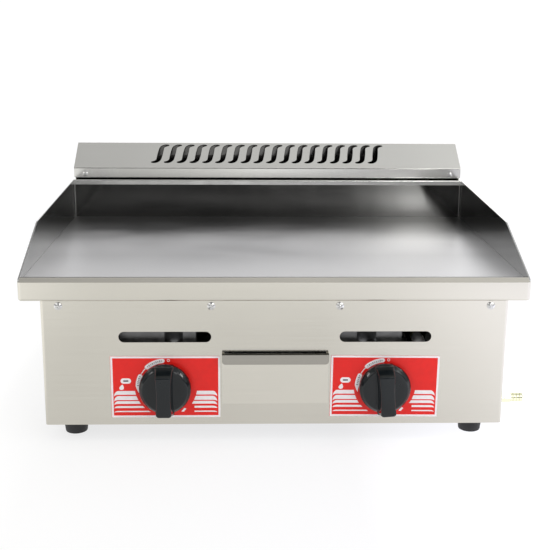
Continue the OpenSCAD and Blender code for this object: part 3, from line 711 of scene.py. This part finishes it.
# How far each label is turned clockwise, in degrees.
LABEL_TURN = {"left": 0.0, "right": 0.5}

# How far each ink's face stands in front of the label.
WHITE_LIFT, DARK_LIFT = 0.05, 0.09

# The thinnest that a tapered stretch of print gets, as half its width.
HAIR = 0.05

# The dial track: a pill, a thin link and a pill that thins out, as turns in degrees from the top.
FIRST_PILL = (0.5, 46.0)
LINK = [(45.0, 0.55), (62.0, 0.4)]
SECOND_PILL = (61.0, 103.0)
SECOND_TAIL = 15.0

# Ticks on the two pills: their turns, half the turn that each spans, and half their lengths.
TICK_TURNS = (range(7, 43, 4), range(67, 89, 4))
TICK_SPAN = 0.75
TICK_HALVES = (0.7, 1.1)

# The printed bars, as (top, bottom, drop of the outer horn), with their outer end, how round it is, and the
# arcs around the knob that cut their inner ends. The lowest ones on the right end in a straight line.
BARS = [(-4.7, -9.0, 7.0), (-10.6, -15.2, 6.6), (-16.5, -19.7, 4.8), (-22.2, -24.5, 2.8), (-27.9, -29.3, 1.9)]
BAR_END, BAR_ROUND = 56.4, 5.0
LEFT_ARC, RIGHT_ARC = 33.7, 34.6
STRAIGHT_BELOW, STRAIGHT_X = -21.0, 31.4

# The plain signs in place of words: a bubble with a bar in it, a drop and a ring.
BUBBLE = (-43.0, 6.9)
DROP = (-48.0, -0.3)
RING = (3.6, 30.4)


def around(radius, turn):
    """A point at a radius from the knob's axis, turned anticlockwise from the top."""
    return (-radius * math.sin(math.radians(turn)), radius * math.cos(math.radians(turn)))


def arc_strip(stops, steps=28):
    """A band along the dial track, from stops of (turn, half width)."""
    first, last = stops[0][0], stops[-1][0]
    turns = [first + (last - first) * i / steps for i in range(steps + 1)]
    return [(around(TRACK_R - value_at(stops, t), t), around(TRACK_R + value_at(stops, t), t)) for t in turns]


def pill_stops(start, end, tail=0.0):
    """Half widths along a pill on the dial track: round at its start, and at its end round or thinned out."""
    cap = math.degrees(PILL_H / TRACK_R)
    rise = [(start + cap * (1.0 - math.cos(a)), max(HAIR, PILL_H * math.sin(a))) for a in quarter_turn(6)]
    if tail:
        return rise + [(end - tail, PILL_H), (end - 0.6 * tail, 0.62 * PILL_H), (end, HAIR)]
    return rise + [(end + start - t, h) for t, h in reversed(rise)]


def bar_strip(top, bottom, inner_at, sign, horn):
    """One printed bar: cut along the dial at its inner end, and drawn down to a horn at its outer end."""
    steps = 4
    round_from = BAR_END - BAR_ROUND
    top_x, bottom_x = inner_at(top), inner_at(bottom)
    strip = []
    for i in range(steps + 1):
        strip.append(((sign * (bottom_x + (round_from - bottom_x) * i / steps), bottom),
                      (sign * (top_x + (round_from - top_x) * i / steps), top)))
    for a in quarter_turn(8)[1:]:
        x = round_from + BAR_ROUND * math.sin(a)
        fallen = 1.0 - math.cos(a)
        upper = top - horn * fallen
        lower = bottom + (top - horn - bottom) * fallen
        strip.append(((sign * x, min(lower, upper - HAIR)), (sign * x, upper)))
    return strip


def frame_strip():
    """The border: the outer and inner rectangles, corner by corner."""
    (cx, cz), (hw, hh) = PRINT_CENTRE, PRINT_HALF
    margin = 0.02
    corners = [(-1, -1), (1, -1), (1, 1), (-1, 1), (-1, -1)]
    return [((cx + u * (hw - BORDER), cz + v * (hh - BORDER)),
             (cx + u * (hw - margin), cz + v * (hh - margin)))
            for u, v in corners]


def drop_strip(centre, half_w, height):
    """A plain flame-like drop, pointed at its top and leaning a little."""
    cx, cz = centre
    steps = 12
    tip, slant = 0.03, 1.3
    strip = []
    for i in range(steps + 1):
        t = i / steps
        half = half_w * math.sin(math.pi * t ** 0.62) ** 0.8 if 0 < i < steps else tip
        lean = slant * t * t
        z = cz - 0.5 * height + height * t
        strip.append(((cx - half + lean, z), (cx + half + lean, z)))
    return strip


def stadium_strip(centre, half_l, half_h):
    """A flat bar with round ends."""
    cx, cz = centre
    tip = 0.03
    rise = [(cx - half_l + half_h * (1.0 - math.cos(a)), max(tip, half_h * math.sin(a)))
            for a in quarter_turn(6)]
    fall = [(2.0 * cx - x, h) for x, h in reversed(rise)]
    return [((x, cz - h), (x, cz + h)) for x, h in rise + fall]


def ring_strip(centre, outer, inner):
    """A flat ring, whose last pair of points meets the first."""
    cx, cz = centre
    angles = full_turn(24)
    return [tuple((cx + radius * math.cos(a), cz + radius * math.sin(a)) for radius in (inner, outer))
            for a in angles + angles[:1]]


def white_strips():
    """The white part of the print: border, dial track, bars, and a plain sign in place of each word."""
    def left_end(z):
        return math.sqrt(LEFT_ARC ** 2 - z * z)

    def right_end(z):
        return STRAIGHT_X if z < STRAIGHT_BELOW else math.sqrt(RIGHT_ARC ** 2 - z * z)

    bars = [bar_strip(top, bottom, end, sign, horn)
            for sign, end in ((-1, left_end), (1, right_end)) for top, bottom, horn in BARS]
    track = [arc_strip(pill_stops(*FIRST_PILL)), arc_strip(LINK, 8),
             arc_strip(pill_stops(*SECOND_PILL, SECOND_TAIL))]
    wedge = [((16.8, -28.8), (20.2, -24.6)), ((19.6, -29.0), (22.4, -25.6))]
    signs = [stadium_strip(BUBBLE, 5.7, 3.1), drop_strip(DROP, 2.5, 6.4), ring_strip(RING, 1.6, 1.0)]
    return [frame_strip(), wedge] + bars + track + signs


def dark_strips():
    """The dark part of the print: scale ticks on the white pills, and a bar in the bubble."""
    def tick(turn, half):
        return [(around(TRACK_R - half, t), around(TRACK_R + half, t))
                for t in (turn - TICK_SPAN, turn + TICK_SPAN)]

    ticks = [tick(turn, TICK_HALVES[i % 2]) for turns in TICK_TURNS for i, turn in enumerate(turns)]
    return ticks + [stadium_strip(BUBBLE, 2.9, 0.8)]


def printed(name, strips, side, material, lift):
    """A film of ink from flat strips, laid on a label's face."""
    form = bmesh.new()
    for strip in strips:
        pairs = [[form.verts.new((x, z, 0.0)) for x, z in pair] for pair in strip]
        for (a, b), (c, d) in zip(pairs, pairs[1:]):
            form.faces.new((a, b, d, c))
    bmesh.ops.remove_doubles(form, verts=form.verts, dist=0.0005)
    grown = bmesh.ops.extrude_face_region(form, geom=form.faces[:])["geom"]
    face_points = [g for g in grown if isinstance(g, bmesh.types.BMVert)]
    bmesh.ops.translate(form, vec=(0.0, 0.0, FILM), verts=face_points)
    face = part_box("label_" + side)[0].y - (lift - FILM) * MM
    new_piece(name + "_" + side, form, on_tap(side, face, LABEL_TURN[side]), material, "root")


def make_prints():
    for side in SIDES:
        printed("label_print", white_strips(), side, "white", WHITE_LIFT)
        printed("label_ticks", dark_strips(), side, "mark", DARK_LIFT)


# ---- camera ----

# The camera that the object's outline fits: its place from the middle, from the apron's face and above the
# table, in metres, the way it looks, in degrees, and its lens and sensor, in millimetres.
CAMERA_PLACE = (-0.0332, FACE_Y - 1.0365, 0.4536)
CAMERA_PITCH, CAMERA_YAW, CAMERA_ROLL = 14.26, 1.77, 0.42
LENS, SENSOR = 65.8, 36.0


def make_camera():
    """The scene's camera, from its place and its three angles."""
    pitch, yaw, roll = (math.radians(a) for a in (CAMERA_PITCH, CAMERA_YAW, CAMERA_ROLL))
    forward = Vector((math.sin(yaw) * math.cos(pitch), math.cos(yaw) * math.cos(pitch), -math.sin(pitch)))
    level = Vector((math.cos(yaw), -math.sin(yaw), 0.0))
    above = level.cross(forward)
    right = math.cos(roll) * level + math.sin(roll) * above
    up = -math.sin(roll) * level + math.cos(roll) * above
    data = bpy.data.cameras.new("camera")
    data.sensor_width = SENSOR
    data.lens = LENS
    camera = bpy.data.objects.new("camera", data)
    columns = Matrix((right, up, -forward)).transposed().to_4x4()
    camera.matrix_world = Matrix.Translation(CAMERA_PLACE) @ columns
    bpy.context.scene.collection.objects.link(camera)
    bpy.context.scene.camera = camera


# ---- floor ----

FLOOR_HALF = 9.0
FLOOR_DROP = 0.2 * MM
FLOOR_LIGHT = 1.6

# The floor's light from left to right, near the griddle and far in front of it, as (x in metres, level), and
# how much bluer it gets with every metre to the right.
FLOOR_REACH = 0.62
FLOOR_NEAR = [(-0.62, 0.78), (-0.41, 0.70), (-0.365, 0.58), (-0.32, 0.53), (-0.25, 0.50), (0.08, 0.50),
              (0.25, 0.66), (0.36, 0.82), (0.62, 0.90)]
FLOOR_FAR = [(-0.60, 0.50), (-0.35, 0.58), (-0.19, 0.77), (-0.07, 0.90), (0.18, 0.90), (0.35, 0.48),
             (0.46, 0.18)]
FLOOR_BEHIND = 0.5
FLOOR_BLUE = 0.2

# Going back from the camera: where the far light gives way to the near light, where that dims a little, and
# where the floor behind the griddle takes over.
FAR_TO_NEAR = (FACE_Y - 1.1, FACE_Y - 0.8)
DIMMING = (FACE_Y - 0.58, FACE_Y - 0.42)
TO_BEHIND = (0.1, 0.3)
DIMMED = 0.94


def make_floor():
    """A white table that glows with painted light: brighter near the griddle at both sides, and far in front in
    the middle.
    """
    mesh = bpy.data.meshes.new("floor")
    corners = [(FLOOR_HALF * u, FLOOR_HALF * v, 0.0) for u, v in ((-1, -1), (1, -1), (1, 1), (-1, 1))]
    mesh.from_pydata(corners, [], [(0, 1, 2, 3)])
    floor = bpy.data.objects.new("floor", mesh)
    floor.location.z = -FLOOR_DROP
    bpy.context.scene.collection.objects.link(floor)
    paint = Shader("floor_white", grey(0.22), 0.9)
    paint.set("Emission Strength", FLOOR_LIGHT)
    x, y, _ = paint.split(paint.place)
    across = paint.ranged(x, 0.0, 1.0, at=(-FLOOR_REACH, FLOOR_REACH))

    def strip(stops):
        return paint.ramp(across, [((at + FLOOR_REACH) / (2.0 * FLOOR_REACH),
                                    (level, level, level * (1.0 + FLOOR_BLUE * max(0.0, at))))
                                   for at, level in stops])

    near = paint.multiply(strip(FLOOR_NEAR), paint.ranged(y, 1.0, DIMMED, DIMMING, smooth=True))
    far = strip(FLOOR_FAR)
    front = paint.mix(paint.ranged(y, 1.0, 0.0, FAR_TO_NEAR, smooth=True), near, far)
    behind = paint.ranged(y, 0.0, 1.0, TO_BEHIND, smooth=True)
    paint.link(paint.mix(behind, front, grey(FLOOR_BEHIND)), paint.surface.inputs["Emission Color"])
    mesh.materials.append(paint.material)


# ---- studio ----

# The studio's light from the photographer's end to the far end, as (share of the way, level).
ROOM = [(0.0, 0.05), (0.1, 0.06), (0.25, 0.24), (0.45, 0.60), (0.64, 0.74), (0.76, 0.66), (0.86, 1.0),
        (0.95, 1.7)]
# A ramp's colours stay below 1, so the levels go in as this share of themselves and come out whole.
RAMP_SHARE = 0.5
BACKDROP = 1.05


def make_world():
    """A white studio: bright behind, a little brighter on the right, and dim in front but for its ceiling."""
    world = bpy.data.worlds.new("studio")
    bpy.context.scene.world = world
    world.use_nodes = True
    made = Nodes(world.node_tree)
    world.node_tree.nodes.clear()
    x, y, z = made.split(made.node("ShaderNodeTexCoord").outputs["Generated"])
    depth = made.ranged(y, 0.0, 1.0, at=(-1.0, 1.0))
    room = made.ramp(depth, [(at, grey(RAMP_SHARE * level)) for at, level in ROOM])
    sweep = made.math("ADD", made.ranged(x, 0.84, 1.10, at=(-0.25, 0.17), smooth=True),
                      made.ranged(x, 0.0, 0.2, at=(0.165, 0.185), smooth=True))
    whole = made.math("MULTIPLY", sweep, 1.0 / RAMP_SHARE)
    ceiling = made.math("MULTIPLY", made.ranged(z, 0.0, 1.0, at=(0.74, 0.88), smooth=True),
                        made.ranged(y, 1.0, 0.0, at=(-0.2, 0.1), smooth=True))
    level = made.math("MAXIMUM", made.math("MULTIPLY", room, whole), ceiling)
    lit = made.node("ShaderNodeBackground")
    made.link(level, lit.inputs["Color"])
    seen = made.node("ShaderNodeBackground", Strength=BACKDROP)
    seen.inputs["Color"].default_value = (1.0, 1.0, 1.0, 1.0)
    choose = made.node("ShaderNodeMixShader")
    made.link(made.node("ShaderNodeLightPath").outputs["Is Camera Ray"], choose.inputs["Fac"])
    made.link(lit.outputs["Background"], choose.inputs[1])
    made.link(seen.outputs["Background"], choose.inputs[2])
    made.link(choose.outputs["Shader"], made.node("ShaderNodeOutputWorld").inputs["Surface"])


LAMP_COLOUR = (1.0, 0.99, 0.975)

# Each light's place and the point that it faces, in metres, its width and height, and its power in watts.
LIGHTS = {
    "window": ((0.54, FACE_Y - 1.6, 0.85), (0.2, FACE_Y + 0.4, 0.2), (0.12, 0.62), 2.6),
    "strip_box": ((0.0, FACE_Y - 1.5, 1.25), (0.0, FACE_Y, 0.2), (2.4, 0.22), 2.5),
    "right_box": ((1.25, FACE_Y - 1.05, 1.15), (0.0, FACE_Y, 0.1), (1.5, 1.4), 11.0),
    "left_box": ((-1.25, FACE_Y - 1.0, 1.1), (0.0, FACE_Y, 0.1), (1.2, 1.2), 5.5),
    "right_rim": ((1.05, FACE_Y - 0.16, 0.80), (0.0, FACE_Y, TAP_Z), (0.10, 0.32), 1.3),
    "left_rim": ((-1.05, FACE_Y - 0.16, 0.80), (0.0, FACE_Y, TAP_Z), (0.10, 0.32), 1.0),
}


def make_lights():
    for name, (place, target, size, power) in LIGHTS.items():
        data = bpy.data.lights.new(name, "AREA")
        data.shape = "RECTANGLE"
        data.size, data.size_y = size
        data.energy = power
        data.color = LAMP_COLOUR
        light = bpy.data.objects.new(name, data)
        light.location = place
        light.rotation_euler = (Vector(target) - Vector(place)).to_track_quat("-Z", "Y").to_euler()
        bpy.context.scene.collection.objects.link(light)


make_camera()
make_floor()
make_world()
make_lights()
finish_cad_nodes()
make_knobs()
make_springs()
make_feet()
make_hem()
make_prints()

bpy.context.scene.view_settings.view_transform = "Standard"
